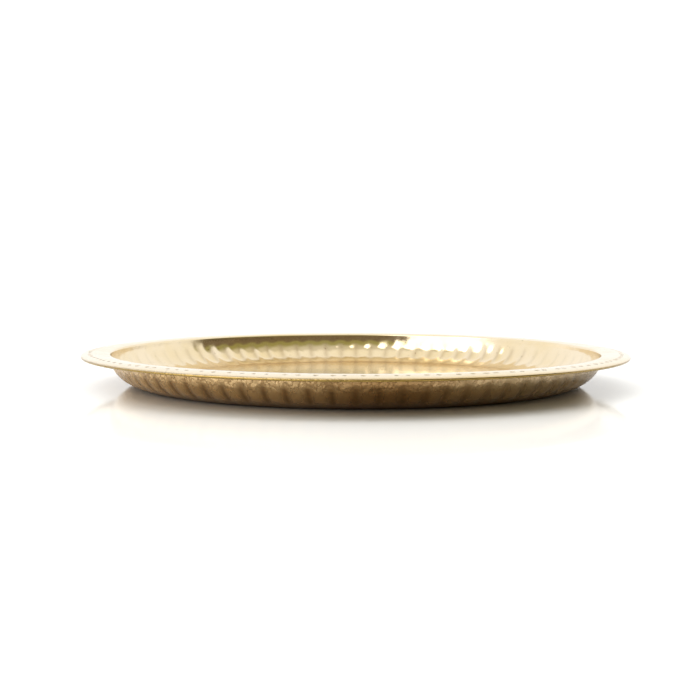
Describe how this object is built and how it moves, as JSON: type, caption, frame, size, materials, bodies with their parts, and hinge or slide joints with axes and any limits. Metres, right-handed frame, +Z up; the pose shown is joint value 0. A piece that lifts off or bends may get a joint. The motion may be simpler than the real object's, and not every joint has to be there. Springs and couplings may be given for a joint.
{
  "type": "brass tray",
  "caption": "Round shallow brass tray with a flat floor, a rounded fluted side, a narrow flange and a curled, wired edge.",
  "frame": {"origin": "centre of the tray, at the face that it stands on", "axes": "+Z up along the tray's axis, X and Y level; a flute's crease lies on +X"},
  "size_m": [0.3, 0.3, 0.0185],
  "materials": {
    "polished_brass": "bright polished sheet brass with light tarnish in the flutes",
    "wire_brass": "drawn brass wire, dull, out of sight inside the curled edge"
  },
  "bodies": {
    "root": {"tray_pan": "polished_brass", "edge_wire": "wire_brass"}
  },
  "joints": []
}
